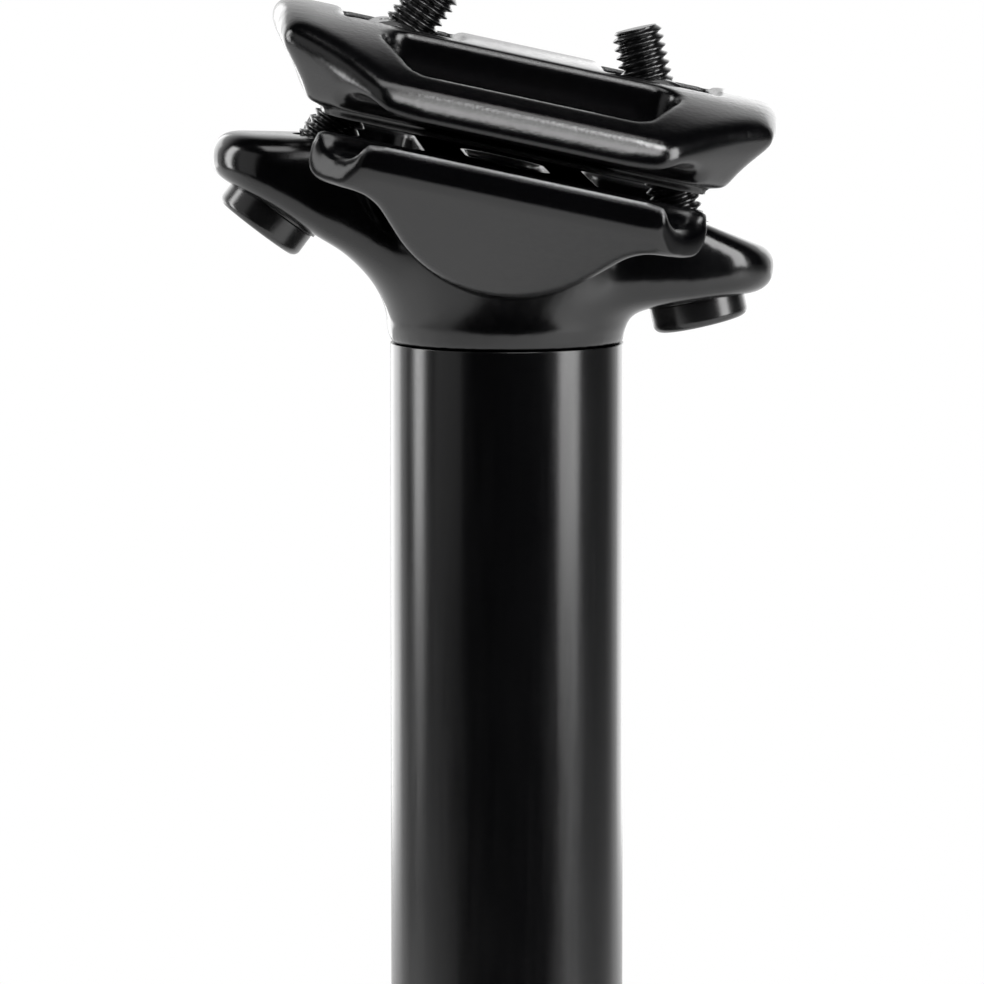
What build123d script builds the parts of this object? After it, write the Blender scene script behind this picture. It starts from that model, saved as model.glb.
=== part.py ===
from build123d import *
from math import cos, radians, sin, sqrt, tan
import os

# Two-bolt bicycle seatpost, in millimetres.
# Post frame: +Z runs up the tube from the middle of its lower end, +X points to the front of the
# bicycle. Clamp frame: the same, but with its origin at the rocker's centre and pitched nose down.

# Tube
POST_LENGTH = 350.0          # from the lower end to the centre of the saddle rails
TUBE_D = 27.2
TUBE_WALL = 2.2
TUBE_END_CHAMFER = 0.6       # inside the lower end

# Clamp frame
CLAMP_PITCH = 12.25          # degrees, nose down from square to the tube

# Saddle rails, which the clamp is made for
RAIL_D = 7.0
RAIL_SPACING = 44.0
LIP_GAP = 2.6                # between the lips of the two clamp halves
GRIP_WALL = 0.5              # from the side of a rail to the outer wall of the clamp

# Rocker: the round belly of the cradle and its seat in the head
ROCKER_R = 16.0
ROCKER_CLEARANCE = 0.06
BELLY_SPREAD = 46.0          # degrees, from the belly's lowest line to each end of its round

# Bolts, their nuts and washers
BOLT_D = 6.0
BOLT_LEAN = 25.0             # degrees, each bolt leans in at the top
BOLT_TO_ROCKER = 1.7         # a bolt's axis passes this far outside the rocker's round
BOLT_LENGTH = 32.0           # under the head
BOLT_HEAD_D = 11.2
BOLT_HEAD_H = 3.2
BOLT_HEAD_ROUND = 0.9
BOLT_TIP_CHAMFER = 0.6
SOCKET_FLATS = 5.0
SOCKET_DEPTH = 2.0
BOLT_HOLE_CLEARANCE = 0.3    # between a bolt and each hole that it passes through
NUT_D = 9.0
NUT_LENGTH = 15.0
NUT_CHAMFER = 0.4
NUT_CLEARANCE = 0.06         # between a nut and its trough
NUT_TO_SEAT = 21.0           # along the bolt, from the nut's centre to the ear's bolt seat
WASHER_D = 11.8
WASHER_THICKNESS = 0.6
SWING_ROOM = 1.4             # room for a bolt in the upper clamp as the clamp tilts

# Head
COLLAR_STEP = 0.4            # how far the collar stands out from the tube
COLLAR_EDGE = 0.3
SEAT_RISE = 6.4              # from the collar's lower edge to the bottom of the rocker
SPIGOT_LENGTH = 28.0
SPIGOT_WALL = 2.5
SPIGOT_ROOF = 3.0            # solid metal over the spigot's bore, below the seat
BOND_GAP = 0.05
ARM_INSET = 0.3              # the arms' feet stay this far inside the collar
ARM_ROUND = 4.0              # rounding of an arm's underside, across it, where its turn starts
REAR_RISE = 7.2              # where the lower lines of the arms would meet the collar, over its lower edge
FRONT_RISE = 3.8
REAR_FOOT = 0.35             # where the turns into those lines start, over the collar's lower edge
FRONT_FOOT = 1.3
TURN_INSET = 2.6             # in the middle of its turn, the arm's sides lie this far inside the collar
TURN_FLAT = 2.9              # half of the flat of the arm's underside there
TURN_REACH = 1.5             # the arm reaches this much deeper than the collar's radius there
EAR_R = 8.6                  # of the ear's round end, seen from above
EAR_THICKNESS = 7.6          # above the bolt seat
EAR_DROOP = 4.0              # degrees, of the ear's upper face
EAR_UNDER_SLOPE = 15.5       # degrees, of the ear's underside
EAR_EDGE = 2.8               # rounding of the ear's rims
EAR_STRAIGHT = 1.0           # of the ear's end, between its round and the arm
SEAT_DEPTH = 0.4             # of the bolt seat below the ear's underside
SEAT_MARGIN = 0.4            # around the washer
EAR_ROOT_INSET = 0.8         # the ears' roots lie this far inside the collar's round

# Lower cradle
CRADLE_FLOOR = 3.5           # below a rail
CRADLE_ARM = 7.8             # from the corner beside the belly to the tip, at the inner side of a rail
CRADLE_WALL_H = 3.3          # upright part of the outer walls
BELLY_HALF_WIDTH = 15.0      # at the belly's lowest line
OGEE_R = 6.0
CRADLE_END_ROUND = 2.5
CRADLE_BREAK_ROUND = 2.0
WEB_INSET = 1.2              # the web between the two rail beams is this much shorter than the belly
BEAM_INNER_WALL = 1.2        # of each rail beam, on the inner side of the rail
NOTCH_CORNER = 3.0
BEAM_TIP = 1.5               # slope at the inner side of a beam's tip
CRADLE_POCKET_LENGTH = 20.0  # of the oval pocket in the web, across the rails
CRADLE_POCKET_WIDTH = 8.8
CRADLE_POCKET_DEPTH = 4.0
CRADLE_EDGE = 0.6            # rounding of the outer edges
CRADLE_MOUTH = 0.9           # opening of the ends of the rail grooves

# Upper clamp
END_WALL = 3.86              # beyond a nut's trough, at the lips
END_TAPER = 8.9              # the outer walls are this much shorter than the middle, at each end
FACET_SLOPE = 0.77           # of the end facets, seen from above
FACET_LEAN = 0.5             # how fast the end facets lean out with height
END_LEAN = 0.5               # how fast the ends lean out with height
UPPER_WALL_H = 4.45          # height of the outer walls
UPPER_WALL_LEAN = 32.0       # degrees, of the walls at their top, which they curve into
CROWN_COVER = 0.22           # the crown's height over the nuts
UPPER_EDGE = 2.2             # rounding of the edges of the crown and the ends
UPPER_LOW_EDGE = 0.8         # rounding of the lower edges
UPPER_MOUTH = 0.7            # rounding of the ends of the rail grooves
POCKET_INNER = 10.0          # distances of the long pockets' sides from the middle
POCKET_OUTER = 21.0
POCKET_END_WALL = 5.6        # from the long pockets to the clamp's ends, at the lips
POCKET_TAPER = 5.3           # the outer side of a pocket is this much shorter at each end
POCKET_RIM = 0.7             # rounding of the rim
POCKET_ROUND = 3.0
POCKET_FLOOR = 1.6           # above the top of the rails
PAD_H = 1.0                  # of the thicker middle under the nuts, below the lips
PAD_INSET = 2.0              # from the pad's sides to the rails, and from its ends to the clamp's ends
TROUGH_HALF_WIDTH = 8.0
TROUGH_FLARE_IN = 3.4        # how far the trough's mouth flares beyond the nut, at the crown
TROUGH_FLARE_OUT = 1.6

# Worked out from the sizes above
TUBE_R = TUBE_D / 2
BORE_R = TUBE_R - TUBE_WALL
COLLAR_R = TUBE_R + COLLAR_STEP
CLAMP_RISE = ROCKER_R + SEAT_RISE
COLLAR_Z = POST_LENGTH - CLAMP_RISE
RAIL_R = RAIL_D / 2
RAIL_Y = RAIL_SPACING / 2
LIP_Z = LIP_GAP / 2
GRIP_HALF = RAIL_Y + RAIL_R + GRIP_WALL
SEAT_R = ROCKER_R + ROCKER_CLEARANCE
BOLT_HOLE_R = BOLT_D / 2 + BOLT_HOLE_CLEARANCE
LEAN = radians(BOLT_LEAN)
BOLT_OFFSET = ROCKER_R + BOLT_TO_ROCKER
NUT_X = BOLT_OFFSET * cos(LEAN)
NUT_Z = BOLT_OFFSET * sin(LEAN)
BELLY_HALF = ROCKER_R * sin(radians(BELLY_SPREAD))
UPPER_END_HALF = NUT_X + NUT_D / 2 + END_WALL
CROWN_H = NUT_Z + NUT_D / 2 + CROWN_COVER - LIP_Z
FRONT = 1
REAR = -1


def in_clamp(shape):
    """Places what is drawn in the clamp frame on the post."""
    return Pos(0, 0, POST_LENGTH) * Rot(0, CLAMP_PITCH, 0) * shape


def post_point(x, z):
    """A point of the clamp frame in the post frame, as (X, Z)."""
    pitch = radians(CLAMP_PITCH)
    return x * cos(pitch) + z * sin(pitch), POST_LENGTH - x * sin(pitch) + z * cos(pitch)


def side_prism(outline, half_width):
    """A side view, drawn in X and Z, carried to both sides."""
    return extrude(Plane.XZ * outline, half_width, both=True)


def bar_along_y(radius, half_length, x=0, z=0):
    """A round bar across the post."""
    return Pos(x, 0, z) * Rot(90, 0, 0) * Cylinder(radius, 2 * half_length)


def on_bolt(shape, side, along=0):
    """Stands a shape on a bolt's axis, with its own +Z down the bolt, measured from the nut's centre."""
    start = NUT_X + along * sin(LEAN), NUT_Z - along * cos(LEAN)
    return Pos(side * start[0], 0, start[1]) * Rot(0, 180 - side * BOLT_LEAN, 0) * shape


def rod(radius, length):
    """A round rod that starts at its own origin and runs along +Z."""
    return Cylinder(radius, length, align=(Align.CENTER, Align.CENTER, Align.MIN))


def make_post_tube():
    tube = rod(TUBE_R, COLLAR_Z) - rod(BORE_R, COLLAR_Z)
    lower_rims = tube.edges().group_by(Axis.Z)[0]
    return chamfer(lower_rims.sort_by(SortBy.RADIUS)[0], TUBE_END_CHAMFER)


def bolt_seat_point():
    """Middle of the front ear's bolt seat, in the clamp frame."""
    return NUT_X + NUT_TO_SEAT * sin(LEAN), NUT_Z - NUT_TO_SEAT * cos(LEAN)


def ear_top(x):
    """Height of an ear's upper face at a distance from the rocker's centre, in the clamp frame."""
    seat_x, seat_z = bolt_seat_point()
    return seat_z + EAR_THICKNESS - (x - seat_x) * tan(radians(EAR_DROOP))


def ear_underside(x):
    """Height of an ear's lower face, likewise."""
    seat_x, seat_z = bolt_seat_point()
    return seat_z - SEAT_DEPTH + (x - seat_x) * tan(radians(EAR_UNDER_SLOPE))


def ear_taper(side):
    """How fast an ear's plan narrows from the collar's round to its own end, and where that round is."""
    seat_x, seat_z = bolt_seat_point()
    root = -side * seat_z * tan(radians(CLAMP_PITCH))
    return (COLLAR_R - EAR_ROOT_INSET - EAR_R) / (seat_x - root), root


def make_ear_end(side):
    """The round end of an ear, with rounded rims."""
    seat_x = bolt_seat_point()[0]
    taper, root = ear_taper(side)
    far = seat_x + EAR_R + EAR_EDGE
    outline = make_face(Polyline(
        (root, ear_top(root)),
        (far, ear_top(far)),
        (far, ear_underside(far)),
        (root, ear_underside(root)),
        close=True,
    ))
    end_round = Pos(seat_x, 0) * Rot(0, 0, 180) * Circle(EAR_R)
    root_round = Pos(root, 0) * Circle(COLLAR_R - EAR_ROOT_INSET)
    tongue = make_hull(end_round.edges() + root_round.edges())
    ear = side_prism(outline, COLLAR_R) & extrude(tongue, 2 * ROCKER_R, both=True)
    flats = ear.faces().filter_by(lambda face: abs(face.normal_at().Z) > 0.5)
    rims = flats.edges().filter_by(lambda edge: edge.center().X > root + EAR_EDGE)
    ear = fillet(rims, EAR_EDGE)
    ear = split(ear, Plane.YZ.offset(seat_x + EAR_R * taper - EAR_STRAIGHT), keep=Keep.TOP)
    if side == REAR:
        ear = mirror(ear, Plane.YZ)
    return in_clamp(ear)


def arm_slice(bottom, up, half_width, depth, low_round, top_round):
    """A slice across an arm: it stands on its bottom point, in X and Z, and all its corners are round."""
    outline = make_face(Polyline(
        (-half_width, 0),
        (half_width, 0),
        (half_width, depth),
        (-half_width, depth),
        close=True,
    ))
    outline = round_corners(outline, both_sides(half_width, 0), low_round)
    outline = round_corners(outline, both_sides(half_width, depth), top_round)
    plane = Plane(origin=(bottom.X, 0, bottom.Y), x_dir=(0, 1, 0), z_dir=(up.Y, 0, -up.X))
    return plane * outline


def make_arm(side, ear_end, rise, foot_rise):
    """The arm from the collar out to an ear's end: round like the collar at its foot, flatter further out."""
    seat_x = bolt_seat_point()[0]
    taper, root = ear_taper(side)
    end_x = seat_x + EAR_R * taper
    corner = Vector(side * (COLLAR_R - ARM_INSET), COLLAR_Z + rise)
    out = (Vector(*post_point(side * seat_x, ear_underside(seat_x))) - corner).normalized()
    down = Vector(0, -1)
    half_angle = radians(out.get_angle(down) / 2)
    inward = -(out + down).normalized()
    turn_r = (rise - foot_rise) * tan(half_angle)
    centre = corner - inward * (turn_r / sin(half_angle))
    turn_start = corner + out * (rise - foot_rise)
    foot = corner + down * (rise - foot_rise)
    start_up = (turn_start - centre).normalized()
    top_along = Vector(*post_point(side * end_x, ear_top(end_x))) - Vector(*post_point(0, ear_top(0)))
    top_normal = Vector(-top_along.Y, top_along.X)

    def depth_at(bottom, up):
        """How far the ear's upper face is from a bottom point."""
        gap = Vector(*post_point(0, ear_top(0))) - bottom
        return gap.dot(top_normal) / up.dot(top_normal)

    turn_half = COLLAR_R - TURN_INSET
    start_half = COLLAR_R - EAR_ROOT_INSET - (abs(turn_start.X) - root) * taper
    turn_middle = centre + inward * turn_r
    turn_depth = COLLAR_R + TURN_REACH
    foot_half = COLLAR_R - ARM_INSET
    return loft([
        ear_end.faces().filter_by(GeomType.PLANE).sort_by(lambda face: side * face.normal_at().X)[0],
        arm_slice(turn_start, start_up, start_half, depth_at(turn_start, start_up), ARM_ROUND, EAR_EDGE),
        arm_slice(turn_middle, inward, turn_half, turn_depth, turn_half - TURN_FLAT, EAR_EDGE),
        arm_slice(foot, Vector(-side, 0), foot_half, COLLAR_R, foot_half - ARM_INSET, ARM_INSET),
    ])


def make_head():
    collar = rod(COLLAR_R, CLAMP_RISE - RAIL_R)
    collar = chamfer(collar.edges().group_by(Axis.Z)[0], COLLAR_EDGE)
    head = Pos(0, 0, COLLAR_Z) * collar
    for side, rise, foot_rise in ((FRONT, FRONT_RISE, FRONT_FOOT), (REAR, REAR_RISE, REAR_FOOT)):
        ear_end = make_ear_end(side)
        head += make_arm(side, ear_end, rise, foot_rise) + ear_end
    head -= in_clamp(bar_along_y(SEAT_R, COLLAR_R * 2))
    for side in (FRONT, REAR):
        spot_r = WASHER_D / 2 + SEAT_MARGIN
        head -= in_clamp(on_bolt(rod(spot_r, EAR_R), side, NUT_TO_SEAT))
        head -= in_clamp(on_bolt(rod(BOLT_HOLE_R, 2 * NUT_TO_SEAT), side))
    spigot_r = BORE_R - BOND_GAP
    spigot_bottom = COLLAR_Z - SPIGOT_LENGTH
    head += Pos(0, 0, spigot_bottom) * rod(spigot_r, SPIGOT_LENGTH)
    bore_length = SPIGOT_LENGTH + CLAMP_RISE - SEAT_R - SPIGOT_ROOF
    head -= Pos(0, 0, spigot_bottom) * rod(spigot_r - SPIGOT_WALL, bore_length)
    return head


def four_corners(quarter):
    """A closed plan outline from the points of its front left quarter, listed from the outer side in."""
    back = quarter[::-1]
    points = [(x, y) for x, y in quarter]
    points += [(x, -y) for x, y in back]
    points += [(-x, -y) for x, y in quarter]
    points += [(-x, y) for x, y in back]
    return make_face(Polyline(*points, close=True))


def round_corners(outline, points, radius):
    """Rounds the corners of an outline that lie at the given points."""
    corners = [outline.vertices().sort_by_distance((x, y, 0))[0] for x, y in points]
    return fillet(corners, radius)


def both_sides(x, y):
    """A point and its mirror image about the second axis."""
    return [(x, y), (-x, y)]


def on_rail(edge):
    """Whether the middle of an edge lies on the round of a rail."""
    middle = edge @ 0.5
    return abs(sqrt((abs(middle.Y) - RAIL_Y) ** 2 + middle.Z ** 2) - RAIL_R) < ROCKER_CLEARANCE


def cut_rail_grooves(clamp_half):
    """Cuts the grooves for both rails from a half of the clamp."""
    for side in (1, -1):
        clamp_half -= Pos(0, side * RAIL_Y, 0) * Rot(0, 90, 0) * Cylinder(RAIL_R, 4 * UPPER_END_HALF)
    return clamp_half


def cradle_corner():
    """Where the straight line beside the belly would meet the arm's lower line, along the rails."""
    belly_z = sqrt(ROCKER_R ** 2 - BELLY_HALF ** 2)
    return BELLY_HALF + (belly_z - RAIL_R - CRADLE_FLOOR) * belly_z / BELLY_HALF


def cradle_side_view():
    """Round belly, hollow curves beside it and straight arms."""
    under = RAIL_R + CRADLE_FLOOR
    belly_z = sqrt(ROCKER_R ** 2 - BELLY_HALF ** 2)
    ogee_x = cradle_corner()
    tip = ogee_x + CRADLE_ARM
    arms = Polyline(
        (-BELLY_HALF, -belly_z),
        (-ogee_x, -under),
        (-tip, -under),
        (-tip, -LIP_Z),
        (tip, -LIP_Z),
        (tip, -under),
        (ogee_x, -under),
        (BELLY_HALF, -belly_z),
    )
    belly = ThreePointArc((BELLY_HALF, -belly_z), (0, -ROCKER_R), (-BELLY_HALF, -belly_z))
    outline = make_face([arms, belly])
    outline = round_corners(outline, both_sides(ogee_x, -under), OGEE_R)
    return round_corners(outline, both_sides(tip, -under), CRADLE_END_ROUND)


def cradle_end_view():
    """Upright walls beside the rails that lean in below, to the sides of the belly."""
    break_z = -LIP_Z - CRADLE_WALL_H
    lean = (GRIP_HALF - BELLY_HALF_WIDTH) / (ROCKER_R + break_z)
    low_z = -ROCKER_R - CRADLE_FLOOR
    low_y = BELLY_HALF_WIDTH - CRADLE_FLOOR * lean
    outline = make_face(Polyline(
        (-GRIP_HALF, -LIP_Z),
        (-GRIP_HALF, break_z),
        (-low_y, low_z),
        (low_y, low_z),
        (GRIP_HALF, break_z),
        (GRIP_HALF, -LIP_Z),
        close=True,
    ))
    return round_corners(outline, both_sides(GRIP_HALF, break_z), CRADLE_BREAK_ROUND)


def cradle_plan():
    """Two rail beams with slanted ends, joined by a web."""
    rail_inner = RAIL_Y - RAIL_R
    notch_y = rail_inner - BEAM_INNER_WALL
    tip = cradle_corner() + CRADLE_ARM
    web_half = BELLY_HALF - WEB_INSET
    outline = four_corners([
        (tip - FACET_SLOPE * (GRIP_HALF - rail_inner), GRIP_HALF),
        (tip, rail_inner),
        (tip - BEAM_TIP, notch_y),
        (web_half, notch_y),
    ])
    notch_corners = both_sides(web_half, notch_y) + both_sides(web_half, -notch_y)
    return round_corners(outline, notch_corners, NOTCH_CORNER)


def groove_slice(x, radius):
    """A slice across the left rail at its own slant, parallel to the cradle's front end."""
    stretch = sqrt(1 + FACET_SLOPE ** 2)
    plane = Plane(origin=(x, RAIL_Y, 0), x_dir=(-FACET_SLOPE, 1, 0), z_dir=(1, FACET_SLOPE, 0))
    return plane * Ellipse(radius * stretch, radius)


def flare_grooves(cradle):
    """Opens the ends of the cradle's rail grooves a little."""
    end_x = cradle_corner() + CRADLE_ARM - FACET_SLOPE * RAIL_R
    flare = loft([
        groove_slice(end_x - CRADLE_MOUTH, RAIL_R),
        groove_slice(end_x + CRADLE_MOUTH, RAIL_R + 2 * CRADLE_MOUTH),
    ], ruled=True)
    flares = [flare, mirror(flare, Plane.XZ)]
    for cut in flares + [mirror(cut, Plane.YZ) for cut in flares]:
        cradle -= cut
    return cradle


def make_lower_cradle():
    cradle = side_prism(cradle_side_view(), GRIP_HALF)
    cradle &= extrude(Plane.YZ * cradle_end_view(), 2 * ROCKER_R, both=True)
    cradle &= extrude(cradle_plan(), 2 * ROCKER_R, both=True)
    outer = cradle.edges().filter_by(lambda edge: edge.center().Z < -LIP_Z - CRADLE_EDGE)
    outer = outer.filter_by(lambda edge: abs(edge.center().Y) > RAIL_Y - RAIL_R)
    cradle = fillet(outer, CRADLE_EDGE)
    cradle = flare_grooves(cut_rail_grooves(cradle))
    pocket = Pos(0, 0, -LIP_Z) * SlotOverall(CRADLE_POCKET_LENGTH, CRADLE_POCKET_WIDTH, rotation=90)
    cradle -= extrude(pocket, -CRADLE_POCKET_DEPTH)
    return in_clamp(cradle)


def crown_view():
    """End view of the upper clamp: upright walls under a crowned top."""
    wall_z = LIP_Z + UPPER_WALL_H
    top_half = GRIP_HALF - UPPER_WALL_H * tan(radians(UPPER_WALL_LEAN / 2))
    floor = Line((-GRIP_HALF, LIP_Z), (GRIP_HALF, LIP_Z))
    wall = TangentArc((GRIP_HALF, LIP_Z), (top_half, wall_z), tangent=(0, 1))
    crown = ThreePointArc((top_half, wall_z), (0, LIP_Z + CROWN_H), (-top_half, wall_z))
    return make_face([floor, wall, crown, mirror(wall, Plane.YZ)])


def long_pocket():
    """The blind pocket along one side of the crown."""
    inner_half = UPPER_END_HALF - POCKET_END_WALL
    outer_half = inner_half - POCKET_TAPER
    points = [
        (-inner_half, POCKET_INNER),
        (inner_half, POCKET_INNER),
        (outer_half, POCKET_OUTER),
        (-outer_half, POCKET_OUTER),
    ]
    outline = make_face(Polyline(*points, close=True))
    outline = round_corners(outline, points, POCKET_ROUND)
    return Pos(0, 0, RAIL_R + POCKET_FLOOR) * extrude(outline, CROWN_H)


def nut_trough(side):
    """Round seat of a barrel nut, open and flared at the top, with a slot for the bolt in its floor."""
    radius = NUT_D / 2 + NUT_CLEARANCE
    crown_z = LIP_Z + CROWN_H
    mouth_z = crown_z + UPPER_EDGE
    spread = (mouth_z - NUT_Z) / (crown_z - NUT_Z)
    mouth = make_face(Polyline(
        (NUT_X - radius, NUT_Z),
        (NUT_X - radius - TROUGH_FLARE_IN * spread, mouth_z),
        (NUT_X + radius + TROUGH_FLARE_OUT * spread, mouth_z),
        (NUT_X + radius, NUT_Z),
        close=True,
    ))
    trough = side_prism(mouth, TROUGH_HALF_WIDTH)
    trough += bar_along_y(radius, TROUGH_HALF_WIDTH, NUT_X, NUT_Z)
    if side == REAR:
        trough = mirror(trough, Plane.YZ)
    slot = SlotOverall(2 * (BOLT_HOLE_R + SWING_ROOM), 2 * BOLT_HOLE_R)
    return trough + on_bolt(extrude(slot, NUT_TO_SEAT), side)


def on_pocket_rim(edge):
    """Whether an edge of the upper clamp is part of the rim of a long pocket."""
    middle = edge @ 0.5
    beside = POCKET_INNER - ROCKER_CLEARANCE < abs(middle.Y) < POCKET_OUTER + ROCKER_CLEARANCE
    across = abs(middle.X) < UPPER_END_HALF - POCKET_END_WALL + ROCKER_CLEARANCE
    upright = abs((edge % 0.5).Z) > 0.9
    return beside and across and middle.Z > RAIL_R + POCKET_FLOOR + POCKET_RIM and not upright


def trim_ends(block):
    """Cuts the ends of the upper clamp to shape: each leans out, between two facets that slope back."""
    wall_half = UPPER_END_HALF - END_TAPER
    for side in (FRONT, REAR):
        end = Plane(origin=(side * UPPER_END_HALF, 0, LIP_Z), z_dir=(side, 0, -END_LEAN))
        block = split(block, end, keep=Keep.BOTTOM)
        for left in (1, -1):
            corner = (side * wall_half, left * GRIP_HALF, LIP_Z)
            facet = Plane(origin=corner, z_dir=(side, left * FACET_SLOPE, -FACET_LEAN))
            block = split(block, facet, keep=Keep.BOTTOM)
    return block


def make_upper_clamp():
    clamp = trim_ends(extrude(Plane.YZ * crown_view(), 2 * UPPER_END_HALF, both=True))
    low_rims = clamp.edges().group_by(Axis.Z)[0]
    clamp = fillet(clamp.edges() - low_rims, UPPER_EDGE)
    clamp = fillet(clamp.edges().group_by(Axis.Z)[0], UPPER_LOW_EDGE)
    pad_half = RAIL_Y - RAIL_R - PAD_INSET
    pad = Pos(0, 0, LIP_Z) * RectangleRounded(2 * (UPPER_END_HALF - PAD_INSET), 2 * pad_half, NOTCH_CORNER)
    clamp += extrude(pad, -PAD_H)
    clamp = cut_rail_grooves(clamp)
    mouths = clamp.edges().filter_by(GeomType.LINE, reverse=True).filter_by(on_rail)
    clamp = fillet(mouths, UPPER_MOUTH)
    pocket = long_pocket()
    clamp -= pocket
    clamp -= mirror(pocket, Plane.XZ)
    clamp = fillet(clamp.edges().filter_by(on_pocket_rim), POCKET_RIM)
    for side in (FRONT, REAR):
        clamp -= nut_trough(side)
    return in_clamp(clamp)


def make_bolt(side):
    under_head = NUT_TO_SEAT + WASHER_THICKNESS
    shank = chamfer(rod(BOLT_D / 2, BOLT_LENGTH).edges().group_by(Axis.Z)[0], BOLT_TIP_CHAMFER)
    bolt_head = rod(BOLT_HEAD_D / 2, BOLT_HEAD_H)
    bolt_head = fillet(bolt_head.edges().group_by(Axis.Z)[-1], BOLT_HEAD_ROUND)
    socket = RegularPolygon(SOCKET_FLATS / 2, 6, major_radius=False)
    bolt_head -= Pos(0, 0, BOLT_HEAD_H) * extrude(socket, -SOCKET_DEPTH)
    bolt = shank + Pos(0, 0, BOLT_LENGTH) * bolt_head
    return in_clamp(on_bolt(bolt, side, under_head - BOLT_LENGTH))


def make_nut(side):
    barrel = bar_along_y(NUT_D / 2, NUT_LENGTH / 2)
    barrel = chamfer(barrel.edges().filter_by(GeomType.CIRCLE), NUT_CHAMFER)
    nut = Pos(side * NUT_X, 0, NUT_Z) * barrel
    nut -= on_bolt(rod(BOLT_HOLE_R, 2 * NUT_D), side, -NUT_D)
    return in_clamp(nut)


def make_washer(side):
    washer = rod(WASHER_D / 2, WASHER_THICKNESS) - rod(BOLT_HOLE_R, WASHER_THICKNESS)
    return in_clamp(on_bolt(washer, side, NUT_TO_SEAT))


SUB_PARTS = {
    "post_tube": make_post_tube(),
    "head": make_head(),
    "lower_cradle": make_lower_cradle(),
    "upper_clamp": make_upper_clamp(),
}
for end_name, side in (("front", FRONT), ("rear", REAR)):
    SUB_PARTS[f"{end_name}_bolt"] = make_bolt(side)
    SUB_PARTS[f"{end_name}_nut"] = make_nut(side)
    SUB_PARTS[f"{end_name}_washer"] = make_washer(side)

os.makedirs("parts", exist_ok=True)
for name, shape in SUB_PARTS.items():
    export_step(shape, f"parts/{name}.step")
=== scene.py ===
from math import cos, pi, radians, sin, tan

import bmesh
import bpy
import numpy as np
from mathutils import Matrix, Vector


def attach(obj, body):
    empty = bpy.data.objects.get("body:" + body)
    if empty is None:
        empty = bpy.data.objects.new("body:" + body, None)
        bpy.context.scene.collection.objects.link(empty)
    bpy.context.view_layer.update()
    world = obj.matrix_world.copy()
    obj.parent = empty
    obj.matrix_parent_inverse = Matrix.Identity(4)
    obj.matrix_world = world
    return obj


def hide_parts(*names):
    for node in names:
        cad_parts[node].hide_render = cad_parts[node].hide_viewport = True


# A black two-bolt seatpost in a bright studio. Metres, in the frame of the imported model: +Z up the
# tube, +X to the front of the bicycle, and the camera on the right side of the bicycle, at -Y.

MM = 0.001
FRONT, REAR = 1, -1

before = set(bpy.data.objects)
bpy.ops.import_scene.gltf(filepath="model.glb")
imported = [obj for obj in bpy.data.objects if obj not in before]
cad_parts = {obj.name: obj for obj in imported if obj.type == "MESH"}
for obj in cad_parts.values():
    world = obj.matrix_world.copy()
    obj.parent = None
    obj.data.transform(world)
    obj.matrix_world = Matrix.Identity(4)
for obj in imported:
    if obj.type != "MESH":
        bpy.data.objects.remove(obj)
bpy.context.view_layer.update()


# Camera

IMAGE_PX = 984
SENSOR_MM = 36
VIEW_TARGET = Vector((-1.75, 0, 310.05)) * MM
VIEW_AZIMUTH = radians(-3.0)
VIEW_ELEVATION = radians(6.3)
VIEW_DISTANCE = 790 * MM
PX_PER_MM = 8.57
NEAREST_SEEN = 10 * MM


def direction(azimuth, elevation):
    """The way out from the post. Azimuth runs from the camera's side to the bicycle's front."""
    return Vector((
        sin(azimuth) * cos(elevation),
        -cos(azimuth) * cos(elevation),
        sin(elevation),
    ))


def face_back(thing, target, away, distance):
    """Puts a camera or a lamp at a distance from its target, and turns it to the target."""
    thing.location = target + away * distance
    thing.rotation_euler = (-away).to_track_quat("-Z", "Y").to_euler()


def add_object(name, data):
    thing = bpy.data.objects.new(name, data)
    bpy.context.scene.collection.objects.link(thing)
    return thing


def add_camera():
    camera = add_object("camera", bpy.data.cameras.new("camera"))
    face_back(camera, VIEW_TARGET, direction(VIEW_AZIMUTH, VIEW_ELEVATION), VIEW_DISTANCE)
    camera.data.sensor_width = SENSOR_MM
    camera.data.lens = SENSOR_MM * PX_PER_MM * VIEW_DISTANCE / MM / IMAGE_PX
    camera.data.clip_start = NEAREST_SEEN
    bpy.context.scene.camera = camera


# Shader maths

class Wire:
    """A value in a node tree. Python's operators on it add Math nodes."""

    def __init__(self, board, socket):
        self.board = board
        self.socket = socket

    def __add__(self, other):
        return self.board.math("ADD", self, other)

    def __sub__(self, other):
        return self.board.math("SUBTRACT", self, other)

    def __rsub__(self, other):
        return self.board.math("SUBTRACT", other, self)

    def __mul__(self, other):
        return self.board.math("MULTIPLY", self, other)

    def __truediv__(self, other):
        return self.board.math("DIVIDE", self, other)

    def __pow__(self, other):
        return self.board.math("POWER", self, other)

    def __abs__(self):
        return self.board.math("ABSOLUTE", self, 0)

    __radd__ = __add__
    __rmul__ = __mul__

    def at_least(self, other):
        return self.board.math("MAXIMUM", self, other)

    def ramp(self, low, high):
        """Rises smoothly from 0 at low to 1 at high."""
        return self.board.add("ShaderNodeMapRange", {"interpolation_type": "SMOOTHSTEP"}, {
            "Value": self, "From Min": low, "From Max": high,
        })


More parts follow.
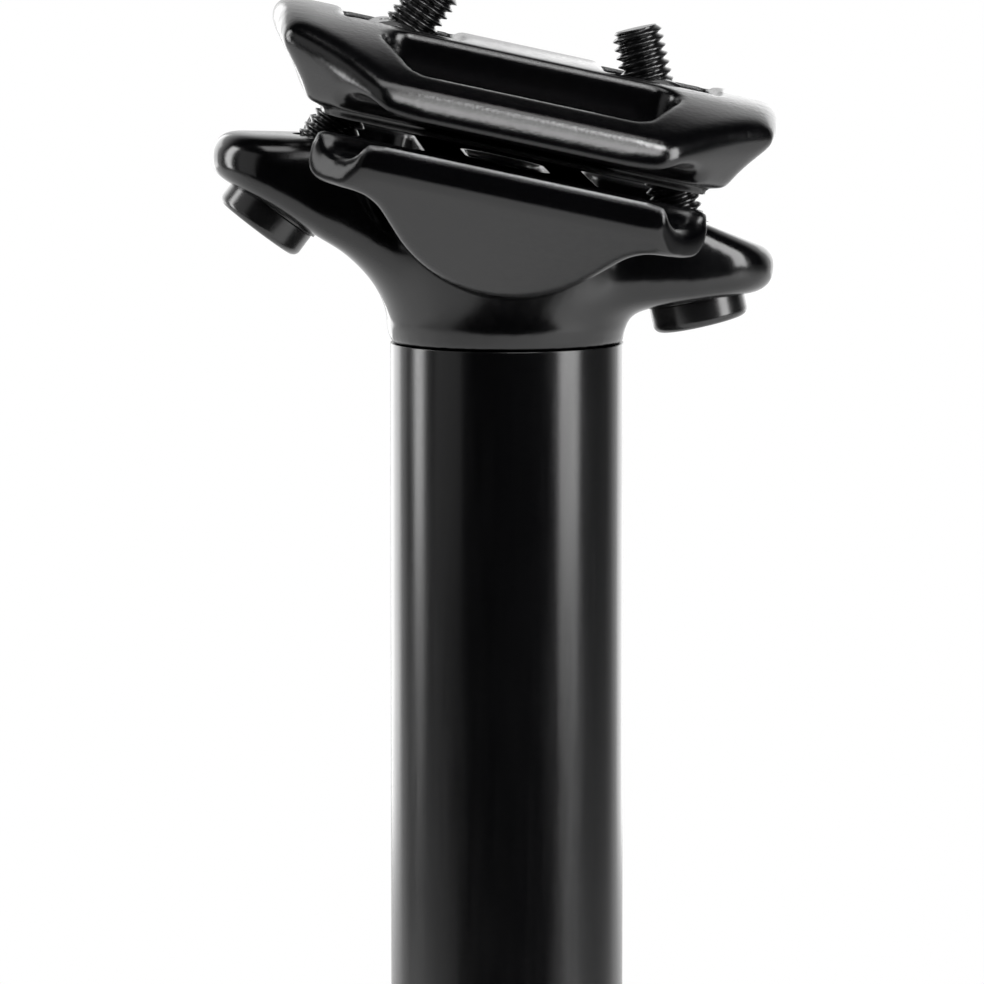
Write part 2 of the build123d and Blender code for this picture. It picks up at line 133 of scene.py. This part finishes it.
class Board:
    """The nodes of one material or world."""

    def __init__(self, owner):
        owner.use_nodes = True
        self.tree = owner.node_tree
        self.tree.nodes.clear()

    def add(self, kind, settings=None, inputs=None, out=0):
        """Adds a node with its settings and its sockets' values or wires. Returns one output."""
        node = self.tree.nodes.new(kind)
        for name, value in (settings or {}).items():
            setattr(node, name, value)
        for name, value in (inputs or {}).items():
            if isinstance(value, Wire):
                self.tree.links.new(value.socket, node.inputs[name])
            else:
                node.inputs[name].default_value = value
        return Wire(self, node.outputs[out])

    def math(self, operation, first, second):
        return self.add("ShaderNodeMath", {"operation": operation}, {0: first, 1: second})

    def split(self, vector):
        """The X, Y and Z of a vector."""
        node = self.add("ShaderNodeSeparateXYZ", None, {"Vector": vector}).socket.node
        return [Wire(self, socket) for socket in node.outputs]

    def noise(self, place, grain, detail):
        """Noise from 0 to 1 whose grains are about the given size, in metres."""
        return self.add("ShaderNodeTexNoise", None, {
            "Vector": place, "Scale": 1 / grain, "Detail": detail,
        })

    def stretch(self, place, factors):
        """A place with its axes stretched, for grain that is longer one way."""
        return self.add("ShaderNodeVectorMath", {"operation": "MULTIPLY"}, {0: place, 1: factors})

    def blend(self, amount, first, second):
        """From the first colour to the second."""
        settings = {"data_type": "RGBA"}
        return self.add("ShaderNodeMix", settings, {0: amount, 6: first, 7: second}, out=2)

    def mix(self, amount, first, second):
        """From the first shader to the second."""
        return self.add("ShaderNodeMixShader", None, {0: amount, 1: first, 2: second})

    def rounding(self, radius, samples):
        """The normal that the surface has if its edges are rounded by a radius."""
        return self.add("ShaderNodeBevel", {"samples": samples}, {"Radius": radius})

    def edges(self, rounded):
        """0 on flat places, and more the further a rounded edge turns."""
        flat = self.add("ShaderNodeNewGeometry", out="Normal")
        settings = {"operation": "DOT_PRODUCT"}
        return 1 - self.add("ShaderNodeVectorMath", settings, {0: rounded, 1: flat}, out="Value")

    def finish(self, shader, kind="ShaderNodeOutputMaterial"):
        self.tree.links.new(shader.socket, self.tree.nodes.new(kind).inputs["Surface"])


def grey(value, tint=1.0):
    """A grey colour, a little bluish where the tint is over 1."""
    return (value, value, value * tint, 1.0)


# Places in the clamp, in millimetres from its centre

CLAMP_CENTRE = Vector((0, 0, 350)) * MM
CLAMP_PITCH = radians(12.25)
IN_CLAMP = Matrix.Translation(CLAMP_CENTRE) @ Matrix.Rotation(CLAMP_PITCH, 4, "Y")
LIP_Z = 1.3
POCKET_R = 4.4
POCKET_STRAIGHT = 5.6
END_SLOPE = 0.77
END_REACH = 23.28
RAIL_INNER = 18.5


# Finishes

DYE_CLOUD = 14 * MM
DYE_DEEP = grey(0.0006, 1.4)
DYE_THIN = grey(0.0014, 1.3)
DYE_IOR = 1.62
# The edges of the anodised parts are painted a lighter grey: worn dye and a painted edge highlight.
BARE_AND_HIGHLIGHT_TINT = 1.02
WEAR_AND_HIGHLIGHT_TURN = (0.005, 0.10)
WEAR_AND_HIGHLIGHT_PATCHES = (0.42, 0.62)
WEAR_AND_HIGHLIGHT_LEAST = 0.6
BLASTED_ENDS = 0.72

OXIDE_GRAIN = 0.25 * MM
OXIDE_CLOUD = 2.5 * MM
OXIDE_DEEP = grey(0.003, 1.1)
OXIDE_THIN = grey(0.007, 1.05)
OXIDE_RUBBED = grey(0.04)
OXIDE_RUB_TURN = (0.02, 0.2)
OXIDE_RUB_PATCHES = (0.35, 0.6)
OXIDE_RUB = 0.5
OXIDE_ROUGH = 0.24
OXIDE_EDGE = 0.12 * MM
OXIDE_RELIEF = 0.0003 * MM
OXIDE_IOR = 1.7


def black_anodised(name, grain, streak, rough, edge, wear_and_highlight_reach, wear_and_highlight_grey, relief, flats=None):
    """Black anodised aluminium: a deep glossy dye coat with fine grain. Edge is the radius that
    the light sees at the edges. Near them, as far as the wear-and-highlight reach, the colour is
    painted towards the wear-and-highlight grey: worn dye and a painted edge highlight. Relief is
    the depth of the grain. Flats gives, from the board and the place, how far the polish is left
    off, and one more place painted lighter, a painted highlight."""
    material = bpy.data.materials.new(name)
    board = Board(material)
    place = board.add("ShaderNodeTexCoord", out="Object")
    speckle = board.noise(place, grain, 3.0)
    drawn = board.noise(board.stretch(place, streak), grain * 3, 2.0)
    cloud = board.noise(place, DYE_CLOUD, 3.0)
    rounded = board.rounding(edge, 6)
    # The edges are painted lighter: worn dye and a painted edge highlight.
    turn = board.edges(board.rounding(wear_and_highlight_reach, 8))
    patches = WEAR_AND_HIGHLIGHT_LEAST + (1 - WEAR_AND_HIGHLIGHT_LEAST) * cloud.ramp(*WEAR_AND_HIGHLIGHT_PATCHES)
    worn = turn.ramp(*WEAR_AND_HIGHLIGHT_TURN) * patches
    tone = board.blend(cloud, DYE_DEEP, DYE_THIN)
    if flats:
        # The pocket's rim is painted lighter as well: a painted highlight.
        unpolished, rim = flats(board, place)
        worn = worn.at_least(rim)
    colour = board.blend(worn, tone, grey(wear_and_highlight_grey, BARE_AND_HIGHLIGHT_TINT))
    roughness = rough + (speckle - 0.5) * 0.07 + (drawn - 0.5) * 0.10 + (cloud - 0.5) * 0.05
    height = speckle * 0.6 + drawn * 0.4
    bump = board.add("ShaderNodeBump", None, {
        "Strength": 1.0, "Distance": relief, "Height": height, "Normal": rounded,
    })
    shader = board.add("ShaderNodeBsdfPrincipled", None, {
        "Base Color": colour, "Roughness": roughness, "Normal": bump, "IOR": DYE_IOR,
    })
    if flats:
        blasted = board.add("ShaderNodeBsdfPrincipled", None, {
            "Base Color": tone, "Roughness": 1.0, "Specular IOR Level": 0.0,
        })
        shader = board.mix(unpolished, shader, blasted)
    board.finish(shader)
    return material


def flats_in_the_clamp(board, place):
    """Where the cradle was blasted and not polished: between the rails, but for the rim of its
    pocket, and partly at its ends. Also gives the rim itself, a line painted lighter as a painted
    highlight of the rim."""
    level = board.add("ShaderNodeVectorRotate", {"rotation_type": "Y_AXIS"}, {
        "Vector": place, "Center": CLAMP_CENTRE, "Angle": -CLAMP_PITCH,
    })
    x, y, z = board.split(level)
    beside = abs(y)
    above = z - CLAMP_CENTRE.z
    past_straight = (beside - POCKET_STRAIGHT * MM).at_least(0)
    from_rim = (x * x + past_straight * past_straight) ** 0.5 - POCKET_R * MM
    clear_of_rim = from_rim.ramp(0.50 * MM, 0.65 * MM)
    on_flat = above.ramp(-(LIP_Z + 0.10) * MM, -(LIP_Z + 0.05) * MM)
    inside_rails = 1 - beside.ramp((RAIL_INNER - 0.3) * MM, RAIL_INNER * MM)
    between = on_flat * inside_rails * clear_of_rim
    reach = abs(x) + END_SLOPE * (beside - RAIL_INNER * MM)
    ends = reach.ramp((END_REACH - 0.45) * MM, (END_REACH - 0.2) * MM)
    high = above.ramp(-(LIP_Z + 0.7) * MM, -(LIP_Z + 0.4) * MM)
    # A thin line round the pocket's rim, to be painted lighter: a painted highlight.
    rim = from_rim.ramp(-0.45 * MM, -0.20 * MM) * (1 - from_rim.ramp(0.30 * MM, 0.55 * MM))
    return between.at_least(ends * BLASTED_ENDS), rim * high


def black_oxide(name):
    """Steel blacked in oil: satin, a little uneven, and greyer where the edges wear."""
    material = bpy.data.materials.new(name)
    board = Board(material)
    place = board.add("ShaderNodeTexCoord", out="Object")
    speckle = board.noise(place, OXIDE_GRAIN, 3.0)
    cloud = board.noise(place, OXIDE_CLOUD, 3.0)
    rounded = board.rounding(OXIDE_EDGE, 6)
    worn = board.edges(rounded).ramp(*OXIDE_RUB_TURN) * cloud.ramp(*OXIDE_RUB_PATCHES)
    tone = board.blend(cloud, OXIDE_DEEP, OXIDE_THIN)
    colour = board.blend(worn * OXIDE_RUB, tone, OXIDE_RUBBED)
    roughness = OXIDE_ROUGH + (speckle - 0.5) * 0.05 + (cloud - 0.5) * 0.08
    bump = board.add("ShaderNodeBump", None, {
        "Strength": 1.0, "Distance": OXIDE_RELIEF, "Height": speckle, "Normal": rounded,
    })
    board.finish(board.add("ShaderNodeBsdfPrincipled", None, {
        "Base Color": colour, "Roughness": roughness, "Normal": bump, "IOR": OXIDE_IOR,
    }))
    return material


# Meshes

SIDES = 72
JOIN_GAP = 0.002


def skin(name, rings):
    """A closed mesh over rings of points, from the upper to the lower."""
    count = len(rings[0])
    faces = []
    for ring in range(len(rings) - 1):
        for step in range(count):
            a = ring * count + step
            b = ring * count + (step + 1) % count
            faces.append((b, a, a + count, b + count))
    faces.append(tuple(range(count)))
    last = (len(rings) - 1) * count
    faces.append(tuple(last + step for step in reversed(range(count))))
    mesh = bpy.data.meshes.new(name)
    mesh.from_pydata([point for ring in rings for point in ring], [], faces)
    mesh.update()
    return mesh


def turned(name, rings):
    """A mesh round the Z axis from rings of (height, radius at each angle), in millimetres."""
    angles = [2 * pi * step / SIDES for step in range(SIDES)]
    return skin(name, [
        [Vector((radius_at(a) * cos(a), radius_at(a) * sin(a), height)) * MM for a in angles]
        for height, radius_at in rings
    ])


def rod(top, bottom, radius):
    """A straight round rod on the Z axis, for cutting and joining."""
    return turned("rod", [(top, lambda angle: radius), (bottom, lambda angle: radius)])


def clean(mesh):
    """Joins points that lie together and takes out faces without area."""
    shape = bmesh.new()
    shape.from_mesh(mesh)
    bmesh.ops.remove_doubles(shape, verts=shape.verts, dist=JOIN_GAP * MM)
    bmesh.ops.dissolve_degenerate(shape, edges=shape.edges, dist=JOIN_GAP * MM)
    many_sided = [face for face in shape.faces if len(face.verts) > 4]
    bmesh.ops.triangulate(shape, faces=many_sided)
    shape.to_mesh(mesh)
    shape.free()


def shade(mesh, sharp_degrees):
    """Smooth shading that breaks at edges sharper than an angle."""
    mesh.shade_smooth()
    mesh.set_sharp_from_angle(angle=radians(sharp_degrees))


def applied(thing):
    """The mesh of an object with its modifiers."""
    graph = bpy.context.evaluated_depsgraph_get()
    return bpy.data.meshes.new_from_object(thing.evaluated_get(graph))


def voxels(mesh, size):
    """A mesh of even squares over a closed mesh."""
    blank = add_object("blank", mesh)
    remesh = blank.modifiers.new("remesh", "REMESH")
    remesh.mode = "VOXEL"
    remesh.voxel_size = size * MM
    even = applied(blank)
    bpy.data.objects.remove(blank)
    return even


def rise(value, low, high):
    """Rises smoothly from 0 at low to 1 at high."""
    share = np.clip((value - low) / (high - low), 0, 1)
    return share * share * (3 - 2 * share)


def places_of(mesh):
    """The points of a mesh, one row each."""
    places = np.empty(len(mesh.vertices) * 3)
    mesh.vertices.foreach_get("co", places)
    return places.reshape(-1, 3)


def put_places(mesh, places):
    mesh.vertices.foreach_set("co", places.ravel())
    mesh.update()


def even_out(mesh, places, passes):
    """Draws each point towards its neighbours, by each pass's own amount and number of rounds."""
    count = len(places)
    ends = np.empty(len(mesh.edges) * 2, dtype=np.int32)
    mesh.edges.foreach_get("vertices", ends)
    ends = ends.reshape(-1, 2)
    near = np.concatenate((ends[:, 0], ends[:, 1]))
    other = np.concatenate((ends[:, 1], ends[:, 0]))
    neighbours = np.bincount(near, minlength=count)
    for amount, rounds in passes:
        for _ in range(rounds):
            sums = [np.bincount(near, places[other, axis], count) for axis in range(3)]
            middle = np.stack(sums, axis=1) / neighbours[:, None]
            places += 0.5 * amount[:, None] * (middle - places)


# Bolts

BOLT_LEAN = radians(25)
BOLT_OFFSET = 17.7
NUT_TO_SEAT = 21.0
WASHER_THICKNESS = 0.6
BOLT_LENGTH = 32.0
BOLT_R = 3.0
PITCH = 1.0
ROWS_PER_PITCH = 12
ROOT_R = 2.42
ROOT_SHARE = 0.16
FLANK_SHARE = 0.66
TIP_CHAMFER = 0.6
HEAD_R = 5.6
HEAD_H = 3.2
HEAD_ROUND = 0.9
HEAD_ROUND_STEPS = 8
HEAD_CHAMFER = 0.15
SOCKET_FLATS = 5.0
SOCKET_DEPTH = 2.0
SOCKET_CONE = 0.7
SOCKET_CHAMFER = 0.25
POINT_R = 0.02
BOLT_SHARP = 38


def hexagon(angle, flats):
    """Distance from the middle of a hexagon to its edge."""
    return flats / 2 / cos((angle % (pi / 3)) - pi / 6)


def thread_radius(angle, along):
    """Radius of the thread's surface: flat crests and roots with straight flanks between."""
    phase = (along / PITCH - angle / (2 * pi)) % 1.0
    from_root = abs(2 * phase - 1)
    share = min(max((from_root - ROOT_SHARE) / FLANK_SHARE, 0), 1)
    radius = ROOT_R + (BOLT_R - ROOT_R) * share
    return min(radius, BOLT_R - TIP_CHAMFER + along)


def bolt_rings():
    """Rings of (height, radius at each angle) from the socket's floor, over the head, to the
    thread's tip. Heights run from the tip."""
    top = BOLT_LENGTH + HEAD_H
    floor = top - SOCKET_DEPTH
    rim = SOCKET_FLATS + 2 * SOCKET_CHAMFER
    rings = [
        (floor - SOCKET_CONE, lambda angle: POINT_R),
        (floor, lambda angle: hexagon(angle, SOCKET_FLATS)),
        (top - SOCKET_CHAMFER, lambda angle: hexagon(angle, SOCKET_FLATS)),
        (top, lambda angle: hexagon(angle, rim)),
    ]
    for step in range(HEAD_ROUND_STEPS + 1):
        turn = step / HEAD_ROUND_STEPS * pi / 2
        radius = HEAD_R - HEAD_ROUND * (1 - sin(turn))
        height = top - HEAD_ROUND * (1 - cos(turn))
        rings.append((height, lambda angle, radius=radius: radius))
    rings.append((BOLT_LENGTH + HEAD_CHAMFER, lambda angle: HEAD_R))
    rings.append((BOLT_LENGTH, lambda angle: HEAD_R - HEAD_CHAMFER))
    rings.append((BOLT_LENGTH, lambda angle: BOLT_R))
    rows = round(BOLT_LENGTH / PITCH * ROWS_PER_PITCH)
    for row in range(rows + 1):
        along = BOLT_LENGTH * (1 - row / rows)
        rings.append((along, lambda angle, along=along: thread_radius(angle, along)))
    rings.append((0, lambda angle: POINT_R))
    return rings


def on_bolt(side):
    """From the frame of a bolt, which runs from the thread's tip to the head, to the model's."""
    along = NUT_TO_SEAT + WASHER_THICKNESS - BOLT_LENGTH
    start = Vector((
        side * (BOLT_OFFSET * cos(BOLT_LEAN) + along * sin(BOLT_LEAN)),
        0,
        BOLT_OFFSET * sin(BOLT_LEAN) - along * cos(BOLT_LEAN),
    )) * MM
    upside_down = Matrix.Rotation(pi - side * BOLT_LEAN, 4, "Y")
    return IN_CLAMP @ Matrix.Translation(start) @ upside_down


def make_bolt(name, side):
    """A socket-head bolt with a cut thread, where the CAD has a plain rod."""
    mesh = turned(name, bolt_rings())
    clean(mesh)
    mesh.transform(on_bolt(side))
    shade(mesh, BOLT_SHARP)
    return add_object(name, mesh)


# Head

COLLAR_R = 14.0
COLLAR_Z = 327.6
COLLAR_BAND = 2.1
COLLAR_TAPER = 0.37
NECK_TOP = 342.0
NECK_STEP = 0.5
NECK_FLARE = 1.5
NECK_FLARE_START = 0.8
NECK_REACH = 16.8
SPIGOT_R = 11.35
SPIGOT_BORE_R = 8.85
SPIGOT_FOOT = 299.6
SEAT_R = 16.06
SEAT_HALF_LENGTH = 30
EAR_STARTS = ((FRONT, 19.6), (REAR, 16.5))
HOLE_R = 3.3
HOLE_SPAN = (38, 6)
SPOT_R = 6.3
SPOT_SPAN = (40, BOLT_LENGTH - WASHER_THICKNESS)
SOFT_NECK_X = (18, 22)
SOFT_NECK_Y = (3, 7)
SOFT_NECK_Z = (COLLAR_Z + 0.5, COLLAR_Z + 2.0)
SOFT_HEAD_Z = (COLLAR_Z - 1.0, COLLAR_Z + 1.0)
HEAD_VOXEL = 0.4
HEAD_ROUNDS = 10
NECK_ROUNDS = 60
FORGING_SHARP = 40


def add_ear_bars(shape, points):
    """Straight bars between the ends of the arms' turns and the tips of the ears."""
    to_clamp = IN_CLAMP.inverted()
    for side, start in EAR_STARTS:
        bar = bmesh.new()
        for point in points:
            if side * (to_clamp @ point).x > start * MM and point.z > COLLAR_Z * MM:
                bar.verts.new(point)
        bmesh.ops.convex_hull(bar, input=bar.verts)
        mesh = bpy.data.meshes.new("ear_bar")
        bar.to_mesh(mesh)
        bar.free()
        shape.from_mesh(mesh)


def add_neck(shape, points, edges):
    """Oval slices that widen from the collar to the arms, as far as the outline from the side."""
    places = np.array(points) / MM
    first, second = places[edges[:, 0]], places[edges[:, 1]]
    rings = []
    for height in np.arange(NECK_TOP, COLLAR_Z + NECK_STEP, -NECK_STEP):
        below, above = first[:, 2] - height, second[:, 2] - height
        crossing = below * above < 0
        share = (below / np.where(crossing, below - above, 1))[crossing]
        across = first[crossing, 0] + share * (second[crossing, 0] - first[crossing, 0])
        ahead, behind = min(across.max(), NECK_REACH), min(-across.min(), NECK_REACH)
        half = COLLAR_R + NECK_FLARE * rise(height, COLLAR_Z + NECK_FLARE_START, NECK_TOP)
        ring = []
        for step in range(SIDES):
            angle = 2 * pi * step / SIDES
            reach = ahead if cos(angle) > 0 else behind
            ring.append(Vector((reach * cos(angle), half * sin(angle), height)) * MM)
        rings.append(ring)
    shape.from_mesh(skin("neck", rings))


def soften_head(mesh):
    """Evens the mesh out, most where the neck runs into the arms, and tapers the collar's foot."""
    places = places_of(mesh)
    x, y, z = (places / MM).T
    everywhere = rise(z, *SOFT_HEAD_Z)
    at_neck = rise(z, *SOFT_NECK_Z) * rise(abs(y), *SOFT_NECK_Y) * (1 - rise(abs(x), *SOFT_NECK_X))
    even_out(mesh, places, ((everywhere, HEAD_ROUNDS), (at_neck, NECK_ROUNDS)))
    from_axis = np.hypot(places[:, 0], places[:, 1])
    low = np.clip(1 - (places[:, 2] / MM - COLLAR_Z) / COLLAR_BAND, 0, 1)
    low *= from_axis > SPIGOT_R * 1.1 * MM
    places[:, :2] *= (1 - low * COLLAR_TAPER * MM / np.maximum(from_axis, MM))[:, None]
    put_places(mesh, places)


def machine_head(head):
    """Faces the foot, drills the ears, bores the seat and turns the spigot."""
    steps = [("DIFFERENCE", rod(COLLAR_Z, 0, 2 * COLLAR_R))]
    for side in (FRONT, REAR):
        for span, radius in ((SPOT_SPAN, SPOT_R), (HOLE_SPAN, HOLE_R)):
            drill = rod(*span, radius)
            drill.transform(on_bolt(side))
            steps.append(("DIFFERENCE", drill))
    seat = rod(SEAT_HALF_LENGTH, -SEAT_HALF_LENGTH, SEAT_R)
    seat.transform(IN_CLAMP @ Matrix.Rotation(pi / 2, 4, "X"))
    steps.append(("DIFFERENCE", seat))
    steps.append(("UNION", rod(COLLAR_Z + 0.2, SPIGOT_FOOT, SPIGOT_R)))
    steps.append(("DIFFERENCE", rod(COLLAR_Z + 1.0, SPIGOT_FOOT - 1, SPIGOT_BORE_R)))
    tools = []
    for operation, mesh in steps:
        tools.append(add_object("tool", mesh))
        cut = head.modifiers.new("cut", "BOOLEAN")
        cut.operation = operation
        cut.solver = "MANIFOLD"
        cut.object = tools[-1]
    head.data = applied(head)
    head.modifiers.clear()
    for tool in tools:
        bpy.data.objects.remove(tool)


def make_head(name):
    """The forged head with the hollows beside its neck and ears drawn into one flowing form."""
    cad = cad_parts["head"]
    points = [cad.matrix_world @ vertex.co for vertex in cad.data.vertices]
    edges = np.array([edge.vertices[:] for edge in cad.data.edges])
    shape = bmesh.new()
    shape.from_mesh(cad.data)
    shape.transform(cad.matrix_world)
    add_ear_bars(shape, points)
    add_neck(shape, points, edges)
    rough = bpy.data.meshes.new(name)
    shape.to_mesh(rough)
    shape.free()
    mesh = voxels(rough, HEAD_VOXEL)
    soften_head(mesh)
    head = add_object(name, mesh)
    machine_head(head)
    clean(head.data)
    shade(head.data, FORGING_SHARP)
    return head


# Clamp

CLAMP_VOXEL = 0.35
CLAMP_ROUNDS = 2
UPPER_ROUNDS = 24
CRADLE_ROUNDS = 14
UPPER_STRETCH = 1.5
UPPER_STRETCH_X = (21.5, 28.5)
UPPER_STRETCH_Z = (2.0, 9.0)
UPPER_CORNERS = (37, 40.5)
UPPER_TIPS = (22.3, 24.5)
CRADLE_TIPS = (20.6, 22.2)
CRADLE_SIDES = (9, 12)


def upper_ends(x, y, z):
    """How far a point of the upper half is softened, and how far it moves out along X."""
    soft = np.maximum(rise(abs(x) + abs(y), *UPPER_CORNERS), rise(abs(x), *UPPER_TIPS))
    stretch = UPPER_STRETCH * rise(abs(x), *UPPER_STRETCH_X) * rise(z, *UPPER_STRETCH_Z)
    return soft, np.sign(x) * stretch


def cradle_ends(x, y, z):
    """How far a point of the cradle is softened, and that none moves out."""
    reach = abs(x) + END_SLOPE * (abs(y) - RAIL_INNER)
    return rise(reach, *CRADLE_TIPS) * rise(abs(y), *CRADLE_SIDES), np.zeros(len(z))


def make_half(name, node, ends_of, rounds):
    """One half of the clamp with its ends forged round."""
    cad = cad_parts[node]
    level = cad.data.copy()
    level.transform(IN_CLAMP.inverted() @ cad.matrix_world)
    mesh = voxels(level, CLAMP_VOXEL)
    places = places_of(mesh)
    soft, out = ends_of(*(places / MM).T)
    places[:, 0] += out * MM
    everywhere = np.ones(len(places))
    even_out(mesh, places, ((everywhere, CLAMP_ROUNDS), (soft, rounds)))
    put_places(mesh, places)
    mesh.transform(IN_CLAMP)
    clean(mesh)
    shade(mesh, FORGING_SHARP)
    return add_object(name, mesh)


# Studio

POST_MIDDLE = Vector((0, 0, 330)) * MM
ROOM_GREY = 0.006
SWEEP_STRENGTH = 0.95
SWEEP_BACK = (0.34, 0.66)
SWEEP_TOP = (0.45, 0.8)
SWEEP_TURN = radians(15)
WATTS_PER_STRENGTH = 4
FLOOR_LEFT, FLOOR_RIGHT = -8.0, 8.0
FLOOR_FRONT, FLOOR_BACK = -0.7, 14.0
FLOOR_Z = -0.5 * MM
PAPER_GREY = 0.82
PAPER_ENDS = (0.3, 0.75)
MIRRORED_NEAR = (0.9, 1.8)
MIRRORED_BEHIND = (0.40, 0.70)
MIRRORED_LEFT = (-0.15, 0.45)

# Name, azimuth, width, elevation, height, distance in metres, strength
SOFTBOXES = (
    ("right_softbox", 60.5, 24, 16, 47, 1.2, 5.2),
    ("left_strip", -100, 15, 16, 47, 1.2, 5.4),
    ("left_board", -63, 32, 16, 47, 1.5, 0.33),
    ("left_rim", -152, 36, 6, 36, 1.6, 1.55),
    ("right_rim", 155, 36, 6, 36, 1.6, 1.05),
    ("key_softbox", 11, 26, 34, 12, 1.3, 4.8),
    ("key_upper", 11, 26, 46, 12, 1.32, 2.4),
    ("key_top", 11, 26, 57, 10, 1.34, 0.9),
    ("ear_spot", 34, 10, 50, 16, 1.3, 12.0),
    ("top_softbox", 0, 40, 76, 24, 1.3, 2.0),
)


def add_softbox(name, azimuth, width, elevation, height, distance, strength):
    """A lit panel that faces the clamp. Azimuth, elevation, width and height are degrees as the
    clamp sees them."""
    lamp = bpy.data.lights.new(name, "AREA")
    lamp.shape = "RECTANGLE"
    lamp.size = 2 * distance * tan(radians(width / 2))
    lamp.size_y = 2 * distance * tan(radians(height / 2))
    lamp.energy = strength * WATTS_PER_STRENGTH * lamp.size * lamp.size_y
    away = direction(radians(azimuth), radians(elevation))
    face_back(add_object(name, lamp), POST_MIDDLE, away, distance)


def add_world():
    """A white sweep behind the post, which ends below a dim ceiling, and a dim room round the
    camera. The camera itself sees plain white."""
    world = bpy.data.worlds.new("studio")
    bpy.context.scene.world = world
    board = Board(world)
    _, y, z = board.split(board.add("ShaderNodeTexCoord", out="Generated"))
    room = board.add("ShaderNodeBackground", None, {"Color": grey(ROOM_GREY), "Strength": 1.0})
    sweep = board.add("ShaderNodeBackground", None, {
        "Color": grey(1.0), "Strength": SWEEP_STRENGTH,
    })
    white = board.add("ShaderNodeBackground", None, {"Color": grey(1.0), "Strength": 1.0})
    behind = y.ramp(*SWEEP_BACK) * (1 - z.ramp(*SWEEP_TOP))
    seen = board.add("ShaderNodeLightPath", out="Is Camera Ray")
    lit = board.mix(behind, room, sweep)
    board.finish(board.mix(seen, lit, white), "ShaderNodeOutputWorld")


def pale_floor():
    """Pale paper near the post, and plain white further out and where the metal mirrors what lies
    behind the post or to its left."""
    material = bpy.data.materials.new("pale_floor")
    board = Board(material)
    place = board.add("ShaderNodeTexCoord", out="Object")
    distance = board.add("ShaderNodeVectorMath", {"operation": "LENGTH"}, {0: place}, out="Value")
    mirrored = board.add("ShaderNodeLightPath", out="Is Glossy Ray")
    seen = board.add("ShaderNodeLightPath", out="Is Camera Ray")
    paper = board.add("ShaderNodeBsdfDiffuse", None, {"Color": grey(PAPER_GREY)})
    white = board.add("ShaderNodeEmission", None, {"Color": grey(1.0), "Strength": 1.0})
    x, y, _ = board.split(place)
    near = 1 - distance.ramp(*MIRRORED_NEAR)
    backward = y / distance
    leftward = (y * cos(SWEEP_TURN) - x * sin(SWEEP_TURN)) / distance
    behind = backward.ramp(*MIRRORED_BEHIND).at_least(near * leftward.ramp(*MIRRORED_LEFT))
    bright = (seen * distance.ramp(*PAPER_ENDS)).at_least(mirrored * behind)
    board.finish(board.mix(bright, paper, white))
    return material


def add_floor():
    """A pale sheet that keeps the post's shadow."""
    mesh = bpy.data.meshes.new("floor")
    corners = [
        (FLOOR_LEFT, FLOOR_FRONT, FLOOR_Z),
        (FLOOR_RIGHT, FLOOR_FRONT, FLOOR_Z),
        (FLOOR_RIGHT, FLOOR_BACK, FLOOR_Z),
        (FLOOR_LEFT, FLOOR_BACK, FLOOR_Z),
    ]
    mesh.from_pydata(corners, [], [(0, 1, 2, 3)])
    mesh.materials.append(pale_floor())
    add_object("floor", mesh)


def dress(mesh, finish):
    """Gives a mesh one finish and no other."""
    mesh.materials.clear()
    mesh.materials.append(finish)


def stand_in_for(piece, node, body):
    """Lets a piece move with a body in place of a CAD node."""
    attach(piece, body)
    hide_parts(node)


add_camera()
add_world()
add_floor()
for softbox in SOFTBOXES:
    add_softbox(*softbox)
bpy.context.scene.view_settings.view_transform = "Standard"

ALONG_TUBE = (1, 1, 0.05)
EVEN = (1, 1, 1)
STEEL = black_oxide("black_oxide_steel")
FINISHES = {
    "post_tube": black_anodised(
        "black_anodised_tube", grain=0.35 * MM, streak=ALONG_TUBE, rough=0.20,
        edge=0.2 * MM, wear_and_highlight_reach=0.2 * MM, wear_and_highlight_grey=0.012, relief=0.001 * MM,
    ),
    "head": black_anodised(
        "black_anodised_head", grain=0.30 * MM, streak=EVEN, rough=0.16,
        edge=0.5 * MM, wear_and_highlight_reach=0.5 * MM, wear_and_highlight_grey=0.03, relief=0.001 * MM,
    ),
    # The cradle's edges are painted a light grey: worn dye and a painted edge highlight.
    "lower_cradle": black_anodised(
        "black_anodised_cradle", grain=0.30 * MM, streak=EVEN, rough=0.16,
        edge=0.6 * MM, wear_and_highlight_reach=1.2 * MM, wear_and_highlight_grey=0.35, relief=0.002 * MM, flats=flats_in_the_clamp,
    ),
    "upper_clamp": black_anodised(
        "black_anodised_clamp", grain=0.45 * MM, streak=EVEN, rough=0.18,
        edge=0.7 * MM, wear_and_highlight_reach=0.8 * MM, wear_and_highlight_grey=0.08, relief=0.026 * MM,
    ),
}
for node in ("front_nut", "rear_nut", "front_washer", "rear_washer"):
    FINISHES[node] = STEEL
for node, finish in FINISHES.items():
    dress(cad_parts[node].data, finish)

head = make_head("head_forged")
dress(head.data, FINISHES["head"])
stand_in_for(head, "head", "post")

for node, ends_of, rounds in (
    ("upper_clamp", upper_ends, UPPER_ROUNDS),
    ("lower_cradle", cradle_ends, CRADLE_ROUNDS),
):
    half = make_half(f"{node}_forged", node, ends_of, rounds)
    dress(half.data, FINISHES[node])
    stand_in_for(half, node, "clamp")

for node, side in (("front_bolt", FRONT), ("rear_bolt", REAR)):
    bolt = make_bolt(f"{node}_threaded", side)
    dress(bolt.data, STEEL)
    stand_in_for(bolt, node, "post")
